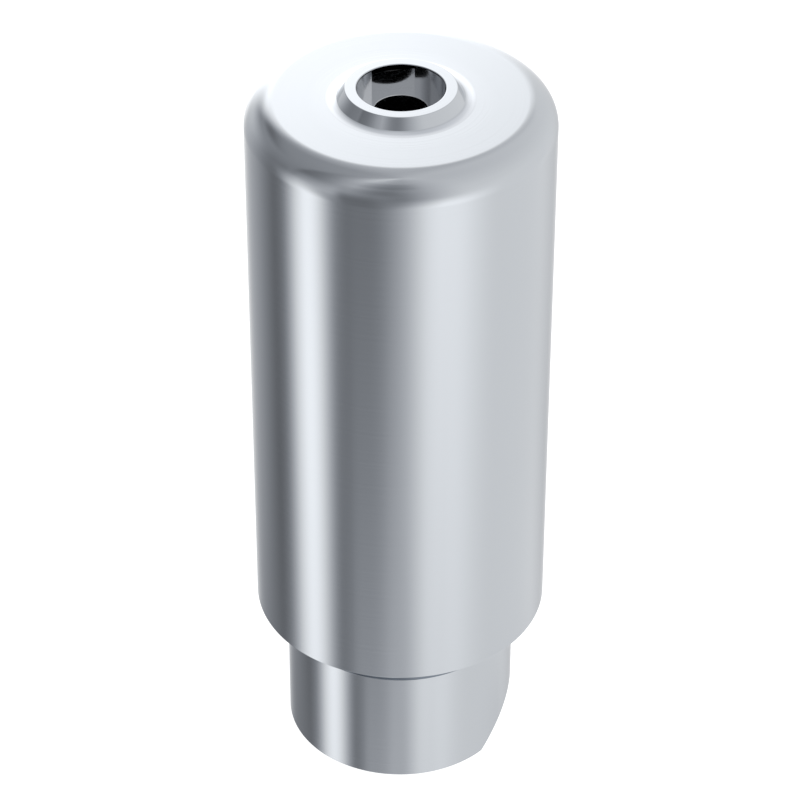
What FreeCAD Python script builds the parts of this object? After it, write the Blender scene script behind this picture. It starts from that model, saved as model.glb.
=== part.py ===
import FreeCAD, Part
import math
import os

import Sketcher
from FreeCAD import Vector

# Pre-milled dental abutment blank, turned and milled from one titanium bar.
# The axis is Z. The origin is the middle of the stub's end face, and +Z runs
# to the platform that sits on the implant. The slanted index cut faces +X.

NODE = "abutment_blank"

# Driving dimensions, in millimetres and degrees.
DIMENSIONS = [
    ("main_diameter", 10.0, "cylinder that the abutment is milled from"),
    ("main_length", 20.0, "shoulder to the flat end round the platform"),
    ("end_edge_radius", 0.95, "rounded edge of the flat end"),
    ("stub_diameter", 7.9, "stub that the milling holder grips"),
    ("stub_length", 5.45, "stub's end face to the shoulder"),
    ("relief_width", 0.97, "groove at the stub's root, under the shoulder"),
    ("relief_depth", 0.2, "groove, into the stub's side"),
    ("relief_rise", 0.1, "groove, up into the shoulder"),
    ("relief_reach", 0.05, "groove in the shoulder, out past the stub's side"),
    ("edge_break", 0.08, "chamfer on the stub's end and the shoulder"),
    ("index_height", 1.75, "height of the index cut on the stub's side"),
    ("index_angle", 45.0, "index cut, measured from the axis"),
    ("cutter_run_out", 0.2, "cutter's path past the stub's side"),
    ("platform_diameter", 3.58, "flat ring that meets the implant"),
    ("platform_height", 0.38, "ring above the flat end"),
    ("flank_angle", 36.5, "cone round the ring, measured from the axis"),
    ("socket_diameter", 2.83, "socket round the corners of the implant's hexagon"),
    ("socket_depth", 0.8, "ring to the socket's floor"),
    ("socket_across_flats", 2.46, "flats that hold two sides of the hexagon"),
    ("mouth_depth", 0.11, "ring to the top of the flats"),
    ("screw_hole_diameter", 1.72, "hole for the screw's thread"),
    ("screw_seat_thickness", 1.0, "socket's floor to the screw's seat"),
    ("screw_channel_diameter", 2.4, "channel for the screw's head"),
]


def size(name):
    return "<<Dimensions>>." + name


# Places that follow from the driving dimensions.
MAIN_RADIUS = size("main_diameter") + " / 2"
STUB_RADIUS = size("stub_diameter") + " / 2"
PLATFORM_RADIUS = size("platform_diameter") + " / 2"
SOCKET_RADIUS = size("socket_diameter") + " / 2"
SOCKET_FLAT = size("socket_across_flats") + " / 2"
SCREW_HOLE_RADIUS = size("screw_hole_diameter") + " / 2"
CHANNEL_RADIUS = size("screw_channel_diameter") + " / 2"
SHOULDER_HEIGHT = size("stub_length")
RELIEF_RADIUS = STUB_RADIUS + " - " + size("relief_depth")
RELIEF_SIDE = STUB_RADIUS + " + " + size("relief_reach")
RELIEF_FOOT = SHOULDER_HEIGHT + " - " + size("relief_width")
RELIEF_TOP = SHOULDER_HEIGHT + " + " + size("relief_rise")
FLAT_END_HEIGHT = SHOULDER_HEIGHT + " + " + size("main_length")
TOTAL_HEIGHT = FLAT_END_HEIGHT + " + " + size("platform_height")
FLANK_WIDTH = size("platform_height") + " * tan(" + size("flank_angle") + ")"
FLANK_BASE_RADIUS = PLATFORM_RADIUS + " + " + FLANK_WIDTH
SOCKET_FLOOR_HEIGHT = TOTAL_HEIGHT + " - " + size("socket_depth")
SCREW_SEAT_HEIGHT = SOCKET_FLOOR_HEIGHT + " - " + size("screw_seat_thickness")
INDEX_SLOPE = "tan(" + size("index_angle") + ")"
INDEX_FOOT = STUB_RADIUS + " - " + size("index_height") + " * " + INDEX_SLOPE
INDEX_SIDE = STUB_RADIUS + " + " + size("cutter_run_out")
INDEX_TOP = size("index_height") + " + " + size("cutter_run_out") + " / " + INDEX_SLOPE


def make_sheet(doc):
    sheet = doc.addObject("Spreadsheet::Sheet", "Dimensions")
    for row, (name, number, meaning) in enumerate(DIMENSIONS, start=1):
        sheet.set("A%d" % row, meaning)
        sheet.set("B%d" % row, str(number))
        sheet.setAlias("B%d" % row, name)
    doc.recompute()
    return sheet


def new_sketch(body, name, role, height=None):
    sketch = body.newObject("Sketcher::SketchObject", name)
    plane = next(item for item in body.Origin.OriginFeatures if item.Role == role)
    sketch.AttachmentSupport = [(plane, "")]
    sketch.MapMode = "FlatFace"
    if height:
        sketch.setExpression("AttachmentOffset.Base.z", height)
    body.Document.recompute()
    return sketch


def number(sketch, expression):
    return float(sketch.evalExpression(expression))


def pin_distance(sketch, direction, line, expression):
    """Hold the start of a line at a distance from the sketch's origin."""
    constraint = Sketcher.Constraint(direction, -1, 1, line, 1, number(sketch, expression))
    index = sketch.addConstraint(constraint)
    sketch.setExpression("Constraints[%d]" % index, expression)


def draw_outline(sketch, corners):
    """Draw a closed outline whose corners are pairs of expressions."""
    points = [Vector(number(sketch, x), number(sketch, y), 0) for x, y in corners]
    ends = points[1:] + points[:1]
    for start, end in zip(points, ends):
        sketch.addGeometry(Part.LineSegment(start, end))
    count = len(corners)
    for line in range(count):
        following = (line + 1) % count
        sketch.addConstraint(Sketcher.Constraint("Coincident", line, 2, following, 1))
    for line, (x, y) in enumerate(corners):
        before = (line - 1) % count
        if x == "0":
            sketch.addConstraint(Sketcher.Constraint("PointOnObject", line, 1, -2))
        elif line > 0 and x == corners[before][0]:
            sketch.addConstraint(Sketcher.Constraint("Vertical", before))
        else:
            pin_distance(sketch, "DistanceX", line, x)
        if y == "0":
            sketch.addConstraint(Sketcher.Constraint("PointOnObject", line, 1, -1))
        elif line > 0 and y == corners[before][1]:
            sketch.addConstraint(Sketcher.Constraint("Horizontal", before))
        else:
            pin_distance(sketch, "DistanceY", line, y)


def pin_circle(sketch, circle, expression):
    """Centre a circle or an arc on the sketch's origin and hold its radius."""
    sketch.addConstraint(Sketcher.Constraint("Coincident", circle, 3, -1, 1))
    radius = Sketcher.Constraint("Radius", circle, number(sketch, expression))
    index = sketch.addConstraint(radius)
    sketch.setExpression("Constraints[%d]" % index, expression)


def draw_circle(sketch, radius):
    ring = Part.Circle(Vector(0, 0, 0), Vector(0, 0, 1), number(sketch, radius))
    pin_circle(sketch, sketch.addGeometry(ring), radius)


def draw_flatted_circle(sketch, radius, flat):
    """Draw a circle cut by two flats that lie across the sketch's second axis."""
    ring = Part.Circle(Vector(0, 0, 0), Vector(0, 0, 1), number(sketch, radius))
    turn = math.asin(number(sketch, flat) / number(sketch, radius))
    right = sketch.addGeometry(Part.ArcOfCircle(ring, -turn, turn))
    left = sketch.addGeometry(Part.ArcOfCircle(ring, math.pi - turn, math.pi + turn))
    upper_right, lower_right = ring.value(turn), ring.value(-turn)
    upper_left, lower_left = ring.value(math.pi - turn), ring.value(math.pi + turn)
    upper = sketch.addGeometry(Part.LineSegment(upper_right, upper_left))
    lower = sketch.addGeometry(Part.LineSegment(lower_left, lower_right))
    for first, second in ((right, upper), (upper, left), (left, lower), (lower, right)):
        sketch.addConstraint(Sketcher.Constraint("Coincident", first, 2, second, 1))
    sketch.addConstraint(Sketcher.Constraint("Horizontal", upper))
    sketch.addConstraint(Sketcher.Constraint("Equal", right, left))
    sketch.addConstraint(Sketcher.Constraint("Coincident", left, 3, -1, 1))
    sketch.addConstraint(Sketcher.Constraint("Equal", upper, lower))
    pin_circle(sketch, right, radius)
    pin_distance(sketch, "DistanceY", upper, flat)


def cut_pocket(body, name, sketch, depth):
    pocket = body.newObject("PartDesign::Pocket", name)
    pocket.Profile = sketch
    pocket.setExpression("Length", depth)
    body.Document.recompute()
    return pocket


def turn_about_axis(body, kind, name, sketch):
    feature = body.newObject(kind, name)
    feature.Profile = sketch
    feature.ReferenceAxis = (sketch, ["V_Axis"])
    feature.Angle = 360
    body.Document.recompute()
    return feature


def round_edges(shape, places):
    """Name the full-circle edges at the given pairs of radius and height."""
    names = []
    for index, edge in enumerate(shape.Edges, start=1):
        if not isinstance(edge.Curve, Part.Circle):
            continue
        for radius, height in places:
            same_radius = abs(edge.Curve.Radius - radius) < 1e-6
            same_height = abs(edge.Curve.Center.z - height) < 1e-6
            if same_radius and same_height:
                names.append("Edge%d" % index)
    return names


def dress_edges(body, kind, name, base, places, dimension, expression):
    feature = body.newObject(kind, name)
    spots = [(number(base, radius), number(base, height)) for radius, height in places]
    feature.Base = (base, round_edges(base.Shape, spots))
    feature.setExpression(dimension, expression)
    body.Document.recompute()
    return feature


# The turned outside: stub, shoulder, main cylinder, and the raised platform
# ring with its conical flank. The relief groove at the stub's root goes into
# the stub and the shoulder, so that the shoulder seats flat on the holder.
def turn_outside(body):
    sketch = new_sketch(body, "outside_outline", "XZ_Plane")
    draw_outline(sketch, [
        ("0", "0"),
        (STUB_RADIUS, "0"),
        (STUB_RADIUS, RELIEF_FOOT),
        (RELIEF_RADIUS, RELIEF_FOOT),
        (RELIEF_RADIUS, RELIEF_TOP),
        (RELIEF_SIDE, RELIEF_TOP),
        (RELIEF_SIDE, SHOULDER_HEIGHT),
        (MAIN_RADIUS, SHOULDER_HEIGHT),
        (MAIN_RADIUS, FLAT_END_HEIGHT),
        (FLANK_BASE_RADIUS, FLAT_END_HEIGHT),
        (PLATFORM_RADIUS, TOTAL_HEIGHT),
        ("0", TOTAL_HEIGHT),
    ])
    turned = turn_about_axis(body, "PartDesign::Revolution", "turned_outside", sketch)
    rounded = dress_edges(
        body, "PartDesign::Fillet", "rounded_end", turned,
        [(MAIN_RADIUS, FLAT_END_HEIGHT)], "Radius", size("end_edge_radius"),
    )
    dress_edges(
        body, "PartDesign::Chamfer", "broken_edges", rounded,
        [(STUB_RADIUS, "0"), (MAIN_RADIUS, SHOULDER_HEIGHT)], "Size", size("edge_break"),
    )


# The screw's way through the blank: a wide channel from the stub's end, a flat
# seat for the screw's head, and a narrow hole on to the socket.
def bore_screw_channel(body):
    sketch = new_sketch(body, "channel_outline", "XZ_Plane")
    draw_outline(sketch, [
        ("0", "0"),
        (CHANNEL_RADIUS, "0"),
        (CHANNEL_RADIUS, SCREW_SEAT_HEIGHT),
        (SCREW_HOLE_RADIUS, SCREW_SEAT_HEIGHT),
        (SCREW_HOLE_RADIUS, TOTAL_HEIGHT),
        ("0", TOTAL_HEIGHT),
    ])
    turn_about_axis(body, "PartDesign::Groove", "screw_channel", sketch)


# The anti-rotation socket: a round mouth, and below it two opposite flats that
# hold two sides of the implant's hexagon.
def cut_socket(body):
    sketch = new_sketch(body, "mouth_outline", "XY_Plane", TOTAL_HEIGHT)
    draw_circle(sketch, SOCKET_RADIUS)
    cut_pocket(body, "round_mouth", sketch, size("mouth_depth"))

    sketch = new_sketch(body, "socket_outline", "XY_Plane", TOTAL_HEIGHT)
    draw_flatted_circle(sketch, SOCKET_RADIUS, SOCKET_FLAT)
    cut_pocket(body, "socket", sketch, size("socket_depth"))


# The index cut: one slanted plane across the side of the stub, so that the
# holder takes the blank in one direction only.
def mill_index_cut(body):
    sketch = new_sketch(body, "index_outline", "XZ_Plane")
    draw_outline(sketch, [
        (INDEX_FOOT, "0"),
        (INDEX_SIDE, "0"),
        (INDEX_SIDE, INDEX_TOP),
    ])
    width = size("stub_diameter") + " + 2 * " + size("cutter_run_out")
    cut = cut_pocket(body, "index_cut", sketch, width)
    cut.Midplane = True
    body.Document.recompute()


def make_blank(doc):
    body = doc.addObject("PartDesign::Body", "Blank")
    body.Label = NODE
    doc.recompute()
    for step in (turn_outside, bore_screw_channel, cut_socket, mill_index_cut):
        step(body)
        print("%-20s leaves %.3f mm3" % (step.__name__, body.Shape.Volume))
    return body


def check(doc, body):
    for item in doc.Objects:
        if "Invalid" in item.State or "Error" in item.State:
            raise RuntimeError("%s is %s" % (item.Name, item.State))
    if body.Shape.isNull() or not body.Shape.isValid():
        raise RuntimeError("%s has no valid shape" % body.Label)


doc = FreeCAD.newDocument("AbutmentBlank")
make_sheet(doc)
blank = make_blank(doc)
doc.recompute()
check(doc, blank)
os.makedirs("parts", exist_ok=True)
blank.Shape.exportStep("parts/%s.step" % blank.Label)
box = blank.Shape.optimalBoundingBox(False)
print("solids: %d" % len(blank.Shape.Solids))
print("box: %.3f x %.3f x %.3f mm" % (box.XLength, box.YLength, box.ZLength))
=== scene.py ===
import math

import bmesh
import bpy
from mathutils import Matrix, Vector


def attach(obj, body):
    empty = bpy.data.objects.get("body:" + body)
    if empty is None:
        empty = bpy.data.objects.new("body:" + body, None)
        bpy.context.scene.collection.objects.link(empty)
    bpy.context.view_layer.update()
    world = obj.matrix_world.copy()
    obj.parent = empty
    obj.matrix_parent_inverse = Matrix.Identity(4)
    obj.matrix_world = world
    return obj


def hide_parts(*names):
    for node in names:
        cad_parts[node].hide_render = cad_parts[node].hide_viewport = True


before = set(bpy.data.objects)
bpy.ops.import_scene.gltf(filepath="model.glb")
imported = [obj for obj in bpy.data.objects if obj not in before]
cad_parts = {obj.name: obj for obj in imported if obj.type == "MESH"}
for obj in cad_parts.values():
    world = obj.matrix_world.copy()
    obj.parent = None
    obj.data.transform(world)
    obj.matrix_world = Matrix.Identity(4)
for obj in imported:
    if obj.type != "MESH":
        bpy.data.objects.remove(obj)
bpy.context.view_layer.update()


# The outside of the blank
# A titanium bar turned on a lathe: the long main cylinder, its rounded end, the raised
# platform ring with a sloping flank, and the thinner stub that the milling machine's
# holder clamps, with a relief groove at its root. The sizes are in mm.
MM = 0.001
MAIN_RADIUS = 5.0
MAIN_LENGTH = 20.0
STUB_RADIUS = 3.95
STUB_LENGTH = 5.45
RELIEF_WIDTH = 0.97
RELIEF_DEPTH = 0.2
RELIEF_RISE = 0.1
RELIEF_REACH = 0.05
PLATFORM_RADIUS = 1.79
PLATFORM_HEIGHT = 0.38
EDGE_BREAK = 0.08
END_ROUNDING = 0.95
EDGE_ROUNDING = 0.01
INNER_ROUNDING = 0.02
RING_ROUNDING = 0.03

MAIN_TOP = STUB_LENGTH + MAIN_LENGTH
PLATFORM_TOP = MAIN_TOP + PLATFORM_HEIGHT
RELIEF_RADIUS = STUB_RADIUS - RELIEF_DEPTH
RELIEF_SIDE = STUB_RADIUS + RELIEF_REACH
RELIEF_FOOT = STUB_LENGTH - RELIEF_WIDTH
RELIEF_TOP = STUB_LENGTH + RELIEF_RISE

# The facing tool's round nose leaves a shallow sweep at the foot of the ring's flank,
# 0.36 mm wide. Its steepest slope, drawn on, would meet the flat end at SWEEP_RADIUS.
NOSE_ROUNDING = 1.75
SWEEP_RADIUS = 2.2365
SWEEP_RISE = 0.0376
FLANK_FOOT_RADIUS = 2.043

ROUND = "round"
FLATTED = "flatted"

outside = [
    # radius, height, rounding of the edge at that point, outline
    (STUB_RADIUS - EDGE_BREAK, 0.0, EDGE_ROUNDING, ROUND),
    (STUB_RADIUS, EDGE_BREAK, EDGE_ROUNDING, ROUND),
    (STUB_RADIUS, RELIEF_FOOT, EDGE_ROUNDING, ROUND),
    (RELIEF_RADIUS, RELIEF_FOOT, INNER_ROUNDING, ROUND),
    (RELIEF_RADIUS, RELIEF_TOP, INNER_ROUNDING, ROUND),
    (RELIEF_SIDE, RELIEF_TOP, INNER_ROUNDING, ROUND),
    (RELIEF_SIDE, STUB_LENGTH, EDGE_ROUNDING, ROUND),
    (MAIN_RADIUS - EDGE_BREAK, STUB_LENGTH, EDGE_ROUNDING, ROUND),
    (MAIN_RADIUS, STUB_LENGTH + EDGE_BREAK, EDGE_ROUNDING, ROUND),
    (MAIN_RADIUS, MAIN_TOP, END_ROUNDING, ROUND),
    (SWEEP_RADIUS, MAIN_TOP, NOSE_ROUNDING, ROUND),
    (FLANK_FOOT_RADIUS, MAIN_TOP + SWEEP_RISE, EDGE_ROUNDING, ROUND),
    (PLATFORM_RADIUS, PLATFORM_TOP, RING_ROUNDING, ROUND),
]

# The socket for the implant's hexagon
# A round mouth bored into the platform. Below it the milled socket has two flats,
# opposite each other, that stop the abutment from turning, each with a narrow ledge on
# top. The screw passes through the hole in the floor.
MOUTH_RADIUS = 1.415
MOUTH_DEPTH = 0.11
SOCKET_DEPTH = 0.8
FLATS_APART = 2.46
SCREW_HOLE_RADIUS = 0.86
SHARP = 0.0

FLATS_TOP = PLATFORM_TOP - MOUTH_DEPTH
SOCKET_FLOOR = PLATFORM_TOP - SOCKET_DEPTH

socket = [
    # the ledges lie between a round and a flatted outline at one height
    (MOUTH_RADIUS, PLATFORM_TOP, RING_ROUNDING, ROUND),
    (MOUTH_RADIUS, FLATS_TOP, SHARP, ROUND),
    (MOUTH_RADIUS, FLATS_TOP, SHARP, FLATTED),
    (MOUTH_RADIUS, SOCKET_FLOOR, SHARP, FLATTED),
    (SCREW_HOLE_RADIUS, SOCKET_FLOOR, INNER_ROUNDING, ROUND),
]

# The screw channel
# Bored from the stub's end. The screw's head goes up it and seats on the flat ledge
# below the socket's floor.
CHANNEL_RADIUS = 1.2
SEAT_THICKNESS = 1.0
CHANNEL_ROUNDING = 0.04

SCREW_SEAT = SOCKET_FLOOR - SEAT_THICKNESS

channel = [
    (SCREW_HOLE_RADIUS, SCREW_SEAT, INNER_ROUNDING, ROUND),
    (CHANNEL_RADIUS, SCREW_SEAT, SHARP, ROUND),
    (CHANNEL_RADIUS, 0.0, CHANNEL_ROUNDING, ROUND),
]

# The whole profile is a closed loop. Each edge with a rounding becomes a short arc with
# a ring close to either side, so that the long faces beside it keep their true shade.
WIDE_ROUNDING = 0.5
WIDE_ARC_STEP = math.radians(2.5)
SMALL_ARC_STEP = math.radians(22)
FEWEST_STEPS = 4
FURTHEST_HOLD = 0.01
HOLD_SHARE = 0.25

profile = outside + socket + channel
rings = []
for index, (ring_radius, height, rounding, outline) in enumerate(profile):
    if rounding == SHARP:
        rings.append((ring_radius, height, outline))
        continue
    corner = Vector((ring_radius, height))
    before = Vector(profile[index - 1][:2])
    after = Vector(profile[(index + 1) % len(profile)][:2])
    arriving = (corner - before).normalized()
    leaving = (after - corner).normalized()
    turn = arriving.angle_signed(leaving)
    run = rounding * math.tan(abs(turn) / 2)
    hold = min(HOLD_SHARE * rounding, FURTHEST_HOLD)
    arc_step = SMALL_ARC_STEP if rounding < WIDE_ROUNDING else WIDE_ARC_STEP
    steps = max(FEWEST_STEPS, math.ceil(abs(turn) / arc_step))
    start = corner - arriving * run
    centre = start + Vector((-arriving.y, arriving.x)) * rounding * (-1 if turn > 0 else 1)
    rings.append((*(start - arriving * hold), outline))
    for step in range(steps + 1):
        arm = start - centre
        arm.rotate(Matrix.Rotation(-turn * step / steps, 2))
        rings.append((*(centre + arm), outline))
    rings.append((*(corner + leaving * (run + hold)), outline))

# Rings become points round the axis, with exact angles where the flats meet the round
# wall. Points of two rings that lie on each other are one point.
POINTS_ROUND = 288
SAME_PLACE_DIGITS = 5

flat_corner = math.asin(FLATS_APART / 2 / MOUTH_RADIUS)
angles = {math.tau * step / POINTS_ROUND for step in range(POINTS_ROUND)}
angles |= {flat_corner, math.pi - flat_corner, math.pi + flat_corner, math.tau - flat_corner}
angles = sorted(angles)

blank_form = bmesh.new()
placed = {}
turned_rings = []
for ring_radius, height, outline in rings:
    turned_ring = []
    for angle in angles:
        reach = ring_radius
        sideways = abs(math.sin(angle)) * ring_radius
        if outline == FLATTED and sideways > FLATS_APART / 2:
            reach = ring_radius * FLATS_APART / 2 / sideways
        point = (reach * math.cos(angle), reach * math.sin(angle), height)
        spot = tuple(round(value, SAME_PLACE_DIGITS) for value in point)
        if spot not in placed:
            placed[spot] = blank_form.verts.new(Vector(point) * MM)
        turned_ring.append(placed[spot])
    turned_rings.append(turned_ring)
for lower, upper in zip(turned_rings, turned_rings[1:] + turned_rings[:1]):
    for here in range(len(angles)):
        there = (here + 1) % len(angles)
        face_points = []
        for vert in (lower[here], lower[there], upper[there], upper[here]):
            if vert not in face_points:
                face_points.append(vert)
        if len(face_points) > 2:
            blank_form.faces.new(face_points)

# The index cut
# One slanted face milled across the stub's lower edge, 45 degrees from the axis. It
# shows the machine which way round the blank sits, and it faces +X.
INDEX_HEIGHT = 1.75

cut = bmesh.ops.bisect_plane(
    blank_form,
    geom=blank_form.verts[:] + blank_form.edges[:] + blank_form.faces[:],
    plane_co=Vector((STUB_RADIUS, 0, INDEX_HEIGHT)) * MM,
    plane_no=Vector((1, 0, -1)).normalized(),
    clear_outer=True,
)
cut_rim = [part for part in cut["geom_cut"] if isinstance(part, bmesh.types.BMEdge)]
bmesh.ops.contextual_create(blank_form, geom=cut_rim)
bmesh.ops.recalc_face_normals(blank_form, faces=blank_form.faces[:])

# The small roundings shade smoothly, and the edges without one stay crisp.
CRISP_EDGE = math.radians(25)
for face in blank_form.faces:
    face.smooth = True
for edge in blank_form.edges:
    edge.smooth = edge.is_manifold and edge.calc_face_angle() < CRISP_EDGE

blank_mesh = bpy.data.meshes.new("turned_blank")
blank_form.to_mesh(blank_mesh)
blank_form.free()
turned_blank = bpy.data.objects.new("turned_blank", blank_mesh)
bpy.context.scene.collection.objects.link(turned_blank)


# The blank's finish
# Titanium alloy, fine turned and left as it comes from the lathe: a cool grey metal
# with a satin sheen, soft edges to its reflections and marks too fine to count.
def linear(hex_colour):
    """The linear colour of an sRGB hex value such as 9BA0A8."""
    channels = [int(hex_colour[at:at + 2], 16) / 255 for at in (0, 2, 4)]
    return [c / 12.92 if c <= 0.04045 else ((c + 0.055) / 1.055) ** 2.4 for c in channels] + [1]


def add_node(tree, kind, settings=None, inputs=None):
    """Adds a node with its settings, and its inputs as values or as links from other nodes."""
    node = tree.nodes.new(kind)
    for name, value in (settings or {}).items():
        setattr(node, name, value)
    for name, value in (inputs or {}).items():
        if isinstance(value, bpy.types.NodeSocket):
            tree.links.new(value, node.inputs[name])
        else:
            node.inputs[name].default_value = value
    return node


turned_titanium = bpy.data.materials.new("fine_turned_titanium")
turned_titanium.use_nodes = True
tree = turned_titanium.node_tree
tree.nodes.clear()

# Places on the metal in mm: how far along the axis, how far out from it, how far from
# midway between the flats, and the lathe tool's way along the profile, which grows up
# the sides and inwards over the end. A test of a place clears its face by a hair.
HAIR = 0.004
place = add_node(tree, "ShaderNodeTexCoord")
in_mm = add_node(tree, "ShaderNodeVectorMath", {"operation": "SCALE"},
                 {"Vector": place.outputs["Object"], "Scale": 1 / MM})
axes = add_node(tree, "ShaderNodeSeparateXYZ", inputs={"Vector": in_mm.outputs["Vector"]})
outwards = add_node(tree, "ShaderNodeVectorMath", {"operation": "MULTIPLY"},
                    {0: in_mm.outputs["Vector"], 1: (1, 1, 0)})
radius = add_node(tree, "ShaderNodeVectorMath", {"operation": "LENGTH"}, {0: outwards.outputs["Vector"]})
to_side = add_node(tree, "ShaderNodeMath", {"operation": "ABSOLUTE"}, {0: axes.outputs["Y"]})
tool_way = add_node(tree, "ShaderNodeMath", {"operation": "SUBTRACT"},
                    {0: axes.outputs["Z"], 1: radius.outputs["Value"]})
on_the_end = add_node(tree, "ShaderNodeMath", {"operation": "GREATER_THAN"},
                      {0: axes.outputs["Z"], 1: MAIN_TOP - HAIR})
outside_mouth = add_node(tree, "ShaderNodeMath", {"operation": "GREATER_THAN"},
                         {0: radius.outputs["Value"], 1: MOUTH_RADIUS + HAIR})

# Feed marks: the real ones are about 0.05 mm apart, and are drawn 0.12 mm apart here, so
# that they just show as a fine grain round the part.
FEED = 0.12
MARKS_DEPTH = 0.002
MARKS_STRENGTH = 0.25
marks = add_node(tree, "ShaderNodeTexNoise", {"noise_dimensions": "1D"},
                 {"W": tool_way.outputs["Value"], "Scale": 1 / FEED, "Detail": 3, "Roughness": 0.6})
marks_bump = add_node(tree, "ShaderNodeBump", inputs={
    "Strength": MARKS_STRENGTH, "Distance": MARKS_DEPTH * MM, "Height": marks.outputs["Fac"]})
marks_roughness = add_node(tree, "ShaderNodeMapRange", inputs={
    "Value": marks.outputs["Fac"], "From Min": 0.3, "From Max": 0.7, "To Min": 0.10, "To Max": 0.13})

# Handling leaves a faint cloudiness, a few mm across.
CLOUDS_IN_A_MM = 0.35
CLOUDS_ROUGHNESS = 0.02
clouds = add_node(tree, "ShaderNodeTexNoise", inputs={
    "Vector": in_mm.outputs["Vector"], "Scale": CLOUDS_IN_A_MM, "Detail": 2})
side_roughness = add_node(tree, "ShaderNodeMath", {"operation": "MULTIPLY_ADD"}, {
    0: clouds.outputs["Fac"], 1: CLOUDS_ROUGHNESS, 2: marks_roughness.outputs["Result"]})

# The ring and the end round its foot are turned with a finer feed, and mirror more sharply.
FINE_FEED_RADIUS = 2.45
COARSE_FEED_RADIUS = 3.0
FINE_FEED_SMOOTHING = 0.07
near_ring = add_node(tree, "ShaderNodeMapRange", inputs={
    "Value": radius.outputs["Value"], "From Min": FINE_FEED_RADIUS,
    "From Max": COARSE_FEED_RADIUS, "To Min": 1, "To Max": 0})
near_ring_on_end = add_node(tree, "ShaderNodeMath", {"operation": "MULTIPLY"},
                            {0: near_ring.outputs["Result"], 1: on_the_end.outputs["Value"]})
fine_feed = add_node(tree, "ShaderNodeMath", {"operation": "MULTIPLY"},
                     {0: near_ring_on_end.outputs["Value"], 1: outside_mouth.outputs["Value"]})
roughness = add_node(tree, "ShaderNodeMath", {"operation": "MULTIPLY_ADD"}, {
    0: fine_feed.outputs["Value"], 1: -FINE_FEED_SMOOTHING, 2: side_roughness.outputs["Value"]})

# The metal's own colour hardly changes along the feed marks. Over the shallow sweep at
# the ring's foot the colour is painted lighter: a painted highlight over the flank's dark reflection
# there.
PAINTED_SWEEP_LIGHT_RADIUS = 2.215
PAINTED_SWEEP_LIGHT_WIDTH = 0.05
PAINTED_SWEEP_LIGHT_FADE = 0.20
turned_tone = add_node(tree, "ShaderNodeMix", {"data_type": "RGBA"}, {
    "Factor": marks.outputs["Fac"], "A": linear("C9CDD2"), "B": linear("CBCFD4")})
off_sweep = add_node(tree, "ShaderNodeMath", {"operation": "SUBTRACT"},
                     {0: radius.outputs["Value"], 1: PAINTED_SWEEP_LIGHT_RADIUS})
from_sweep = add_node(tree, "ShaderNodeMath", {"operation": "ABSOLUTE"}, {0: off_sweep.outputs["Value"]})
in_sweep = add_node(tree, "ShaderNodeMapRange", {"interpolation_type": "SMOOTHSTEP"}, {
    "Value": from_sweep.outputs["Value"], "From Min": PAINTED_SWEEP_LIGHT_WIDTH,
    "From Max": PAINTED_SWEEP_LIGHT_FADE, "To Min": 1, "To Max": 0})
painted_sweep_light = add_node(tree, "ShaderNodeMath", {"operation": "MULTIPLY"},
                     {0: in_sweep.outputs["Result"], 1: on_the_end.outputs["Value"]})
# painted highlight: the sweep at the ring's foot is painted lighter
sweep_painted_light_tone = add_node(tree, "ShaderNodeMix", {"data_type": "RGBA"}, {
    "Factor": painted_sweep_light.outputs["Value"], "A": turned_tone.outputs["Result"], "B": linear("E4E8EE")})

# The socket's metal is painted a more neutral grey, and its bored round wall lighter still:
# painted light that stands in for the light the recess lacks.
within_mouth = add_node(tree, "ShaderNodeMath", {"operation": "LESS_THAN"},
                        {0: radius.outputs["Value"], 1: MOUTH_RADIUS + HAIR})
above_seat = add_node(tree, "ShaderNodeMath", {"operation": "GREATER_THAN"},
                      {0: axes.outputs["Z"], 1: SCREW_SEAT + HAIR})
in_socket = add_node(tree, "ShaderNodeMath", {"operation": "MULTIPLY"},
                     {0: within_mouth.outputs["Value"], 1: above_seat.outputs["Value"]})
beyond_flats = add_node(tree, "ShaderNodeMath", {"operation": "GREATER_THAN"},
                        {0: to_side.outputs["Value"], 1: FLATS_APART / 2 - HAIR})
socket_painted_light_tone = add_node(tree, "ShaderNodeMix", {"data_type": "RGBA"}, {
    "Factor": beyond_flats.outputs["Value"], "A": linear("D6D8DB"), "B": linear("CACCCF")})
# painted light: the socket's walls are painted lighter than the rest of the metal
tone_with_painted_lights = add_node(tree, "ShaderNodeMix", {"data_type": "RGBA"}, {
    "Factor": in_socket.outputs["Value"], "A": sweep_painted_light_tone.outputs["Result"],
    "B": socket_painted_light_tone.outputs["Result"]})

# The ledges above the flats, with the wall over them, and a thin line under the mouth's
# rim are painted near black: painted shade where the recess looks dark.
RIM_LINE_DEPTH = 0.033
RIM_LINE_HALF_WIDTH = 0.02
above_flats = add_node(tree, "ShaderNodeMath", {"operation": "GREATER_THAN"},
                       {0: axes.outputs["Z"], 1: FLATS_TOP - HAIR})
on_ledges = add_node(tree, "ShaderNodeMath", {"operation": "MULTIPLY"},
                     {0: beyond_flats.outputs["Value"], 1: above_flats.outputs["Value"]})
rim_line = add_node(tree, "ShaderNodeMath", {"operation": "COMPARE"},
                    {0: axes.outputs["Z"], 1: PLATFORM_TOP - RIM_LINE_DEPTH, 2: RIM_LINE_HALF_WIDTH})
painted_shade_places = add_node(tree, "ShaderNodeMath", {"operation": "MAXIMUM"},
                       {0: on_ledges.outputs["Value"], 1: rim_line.outputs["Value"]})
painted_shade_in_socket = add_node(tree, "ShaderNodeMath", {"operation": "MULTIPLY"},
                          {0: painted_shade_places.outputs["Value"], 1: in_socket.outputs["Value"]})
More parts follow.
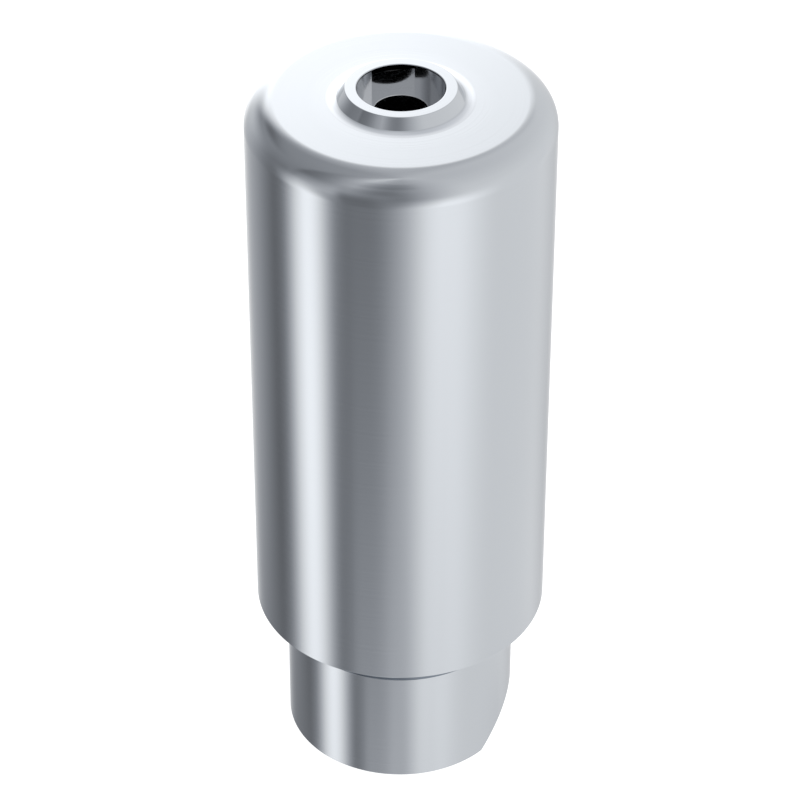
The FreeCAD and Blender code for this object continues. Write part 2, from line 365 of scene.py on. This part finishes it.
# painted shade: the ledges and the line under the rim are painted near black
tone_with_painted_shade = add_node(tree, "ShaderNodeMix", {"data_type": "RGBA"}, {
    "Factor": painted_shade_in_socket.outputs["Value"], "A": tone_with_painted_lights.outputs["Result"],
    "B": linear("01040A")})

metal = add_node(tree, "ShaderNodeBsdfPrincipled", inputs={
    "Base Color": tone_with_painted_shade.outputs["Result"], "Metallic": 1.0,
    "Roughness": roughness.outputs["Value"], "Normal": marks_bump.outputs["Normal"]})
add_node(tree, "ShaderNodeOutputMaterial", inputs={"Surface": metal.outputs["BSDF"]})
turned_blank.data.materials.append(turned_titanium)

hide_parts("abutment_blank")
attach(turned_blank, "root")


# The table
# A white sheet that the blank stands on, so evenly lit that its edge is lost. It faces
# up only, and the metal doesn't mirror it: the soft boxes below take its part.
TABLE_REACH = 3
PAPER_GLOW = 0.93

table_mesh = bpy.data.meshes.new("table")
table_corners = [(x * TABLE_REACH, y * TABLE_REACH, 0) for x, y in ((-1, -1), (1, -1), (1, 1), (-1, 1))]
table_mesh.from_pydata(table_corners, [], [(0, 1, 2, 3)])
table = bpy.data.objects.new("table", table_mesh)
bpy.context.scene.collection.objects.link(table)

white_sheet = bpy.data.materials.new("white_sheet")
white_sheet.use_nodes = True
tree = white_sheet.node_tree
tree.nodes.clear()
paper = add_node(tree, "ShaderNodeBsdfDiffuse", inputs={"Color": linear("BFBFBF")})
glow = add_node(tree, "ShaderNodeEmission", inputs={"Color": linear("FFFFFF"), "Strength": PAPER_GLOW})
lit_paper = add_node(tree, "ShaderNodeAddShader", inputs={
    0: paper.outputs["BSDF"], 1: glow.outputs["Emission"]})
nothing = add_node(tree, "ShaderNodeBsdfTransparent")
side = add_node(tree, "ShaderNodeNewGeometry")
one_sided = add_node(tree, "ShaderNodeMixShader", inputs={
    0: side.outputs["Backfacing"], 1: lit_paper.outputs["Shader"], 2: nothing.outputs["BSDF"]})
add_node(tree, "ShaderNodeOutputMaterial", inputs={"Surface": one_sided.outputs["Shader"]})
table.data.materials.append(white_sheet)
table.visible_glossy = False
table.visible_diffuse = False
table.visible_shadow = False

# The studio
# A white tent with soft boxes round it. The long bright strip on the left, the wide
# wall of light on the right and the lit wall behind give the metal its upright bands.
# All of it is set up round the photo's line of sight, 11.8 degrees from +Y towards +X.
VIEW_TURN = math.radians(11.8)
AMBIENT = 0.03

# The numbers in this table weren't chosen by hand, apart from the middle of the back
# wall. A separate program fitted them to the grey levels of the metal in the photo, and
# they were then rounded.
soft_boxes = [
    # azimuth (0 is behind the camera, + is to the right), elevation, half width and half
    # height, softness of the sides and of the ends, all in degrees, and brightness; a
    # minus is a black flag that takes light away
    ("long strip", -72.5, -36.0, 13.5, 21.5, 13.0, 28.0, 1.18),
    ("strip cap", -62.5, -0.5, 18.5, 11.5, 5.5, 46.5, 0.51),
    ("low front fill", -37.5, -54.5, 64.0, 28.0, 8.5, 13.0, 0.20),
    ("low front lamp", -20.0, -68.0, 19.0, 1.0, 9.0, 38.5, 2.60),
    ("high left", -42.0, -2.5, 37.0, 24.0, 11.5, 12.5, 0.19),
    ("high front", -38.0, 65.0, 0.0, 50.0, 42.0, 25.0, 0.86),
    ("right wall", 98.5, -14.0, 86.0, 72.5, 38.0, 61.5, 0.90),
    ("right lamp", 30.0, -23.5, 19.0, 17.5, 29.5, 17.5, 0.60),
    ("back wall", -171.5, 7.0, 15.5, 29.5, 12.5, 10.0, 0.98),
    ("middle of the back wall", 180.0, -5.0, 20.0, 36.5, 14.0, 1.5, 0.09),
    ("back left", -154.5, -6.0, 32.0, 37.0, 24.0, 7.0, 0.62),
    ("flag over the back", -153.5, 24.5, 28.0, 6.5, 28.0, 16.5, -0.80),
    ("flag under the back", -171.0, -53.0, 47.5, 28.5, 20.5, 62.0, -0.41),
    ("left fill", -131.5, 8.5, 50.0, 41.5, 4.0, 30.0, 0.23),
    ("top light", 0.0, 88.5, 185.0, 25.5, 2.0, 62.0, 0.67),
    ("floor light", 180.0, -75.0, 80.0, 28.0, 40.0, 10.5, 0.70),
    ("low right flag", 124.0, -49.5, 5.0, 8.0, 51.5, 2.0, -0.53),
    ("crown lamp", 1.5, 96.5, 112.5, 4.5, 23.5, 17.0, 0.15),
    ("flag over the front", -14.5, 54.0, 27.5, 9.5, 8.0, 4.0, -0.09),
]

right_way = Vector((math.cos(VIEW_TURN), -math.sin(VIEW_TURN), 0))
away_way = Vector((math.sin(VIEW_TURN), math.cos(VIEW_TURN), 0))

world = bpy.data.worlds.new("white_tent")
bpy.context.scene.world = world
world.use_nodes = True
tree = world.node_tree
tree.nodes.clear()
looking = add_node(tree, "ShaderNodeTexCoord")
to_right = add_node(tree, "ShaderNodeVectorMath", {"operation": "DOT_PRODUCT"},
                    {0: looking.outputs["Generated"], 1: right_way})
to_front = add_node(tree, "ShaderNodeVectorMath", {"operation": "DOT_PRODUCT"},
                    {0: looking.outputs["Generated"], 1: -away_way})
turn_angle = add_node(tree, "ShaderNodeMath", {"operation": "ARCTAN2"},
                      {0: to_right.outputs["Value"], 1: to_front.outputs["Value"]})
azimuth = add_node(tree, "ShaderNodeMath", {"operation": "DEGREES"}, {0: turn_angle.outputs["Value"]})
upwards = add_node(tree, "ShaderNodeSeparateXYZ", inputs={"Vector": looking.outputs["Generated"]})
rise_angle = add_node(tree, "ShaderNodeMath", {"operation": "ARCSINE"}, {0: upwards.outputs["Z"]})
elevation = add_node(tree, "ShaderNodeMath", {"operation": "DEGREES"}, {0: rise_angle.outputs["Value"]})

light = None
for name, box_turn, box_rise, half_width, half_height, soft_sides, soft_ends, brightness in soft_boxes:
    aside = add_node(tree, "ShaderNodeMath", {"operation": "SUBTRACT"},
                     {0: azimuth.outputs["Value"], 1: box_turn})
    wrapped = add_node(tree, "ShaderNodeMath", {"operation": "WRAP"},
                       {0: aside.outputs["Value"], 1: -180, 2: 180})
    off_side = add_node(tree, "ShaderNodeMath", {"operation": "ABSOLUTE"}, {0: wrapped.outputs["Value"]})
    above = add_node(tree, "ShaderNodeMath", {"operation": "SUBTRACT"},
                     {0: elevation.outputs["Value"], 1: box_rise})
    off_height = add_node(tree, "ShaderNodeMath", {"operation": "ABSOLUTE"}, {0: above.outputs["Value"]})
    across = add_node(tree, "ShaderNodeMapRange", {"interpolation_type": "SMOOTHSTEP"}, {
        "Value": off_side.outputs["Value"], "From Min": half_width - soft_sides,
        "From Max": half_width + soft_sides, "To Min": 1, "To Max": 0})
    along = add_node(tree, "ShaderNodeMapRange", {"interpolation_type": "SMOOTHSTEP"}, {
        "Value": off_height.outputs["Value"], "From Min": half_height - soft_ends,
        "From Max": half_height + soft_ends, "To Min": 1, "To Max": 0})
    lit_area = add_node(tree, "ShaderNodeMath", {"operation": "MULTIPLY"},
                        {0: across.outputs["Result"], 1: along.outputs["Result"]})
    lit_area.label = name
    light = add_node(tree, "ShaderNodeMath", {"operation": "MULTIPLY_ADD"}, {
        0: lit_area.outputs["Value"], 1: brightness, 2: light.outputs["Value"] if light else AMBIENT})

# Dim light is slightly bluish and bright light is white. The tent itself is seen as a
# plain white backdrop.
BLUISH_UP_TO = 0.3
WHITE_FROM = 0.9
whiteness = add_node(tree, "ShaderNodeMapRange", inputs={
    "Value": light.outputs["Value"], "From Min": BLUISH_UP_TO, "From Max": WHITE_FROM})
light_colour = add_node(tree, "ShaderNodeMix", {"data_type": "RGBA"}, {
    "Factor": whiteness.outputs["Result"], "A": linear("F6F9FF"), "B": linear("FFFFFF")})
studio_light = add_node(tree, "ShaderNodeBackground", inputs={
    "Color": light_colour.outputs["Result"], "Strength": light.outputs["Value"]})
backdrop = add_node(tree, "ShaderNodeBackground", inputs={"Color": linear("FFFFFF"), "Strength": 1})
seen_by = add_node(tree, "ShaderNodeLightPath")
tent = add_node(tree, "ShaderNodeMixShader", inputs={
    0: seen_by.outputs["Is Camera Ray"], 1: studio_light.outputs["Background"],
    2: backdrop.outputs["Background"]})
add_node(tree, "ShaderNodeOutputWorld", inputs={"Surface": tent.outputs["Shader"]})
bpy.context.scene.view_settings.view_transform = "Standard"

# The camera
# A long lens, 112 mm from the middle of the blank, that looks down at it by 37 degrees,
# as in the photo. It leans and turns aside by a small part of a degree. A separate
# program fitted these values to the blank's outlines in the photo.
LENS = 148.9577
SENSOR_WIDTH = 36
NEAREST_SEEN = 1
DISTANCE_OUT = 89.479
HEIGHT_UP = 80.179
LOOKING_DOWN = math.radians(36.669)
LEANING = math.radians(0.1177)
TURNED_ASIDE = math.radians(-0.0108)

level_way = away_way * math.cos(TURNED_ASIDE) + right_way * math.sin(TURNED_ASIDE)
level_right = right_way * math.cos(TURNED_ASIDE) - away_way * math.sin(TURNED_ASIDE)
looking_way = level_way * math.cos(LOOKING_DOWN) - Vector((0, 0, math.sin(LOOKING_DOWN)))
level_up = level_right.cross(looking_way)
picture_right = level_right * math.cos(LEANING) + level_up * math.sin(LEANING)
picture_up = level_up * math.cos(LEANING) - level_right * math.sin(LEANING)

camera_data = bpy.data.cameras.new("camera")
camera_data.sensor_width = SENSOR_WIDTH
camera_data.lens = LENS
camera_data.clip_start = NEAREST_SEEN * MM
camera = bpy.data.objects.new("camera", camera_data)
bpy.context.scene.collection.objects.link(camera)
standing = Matrix((picture_right, picture_up, -looking_way)).transposed().to_4x4()
standing.translation = (Vector((0, 0, HEIGHT_UP)) - away_way * DISTANCE_OUT) * MM
camera.matrix_world = standing
bpy.context.scene.camera = camera
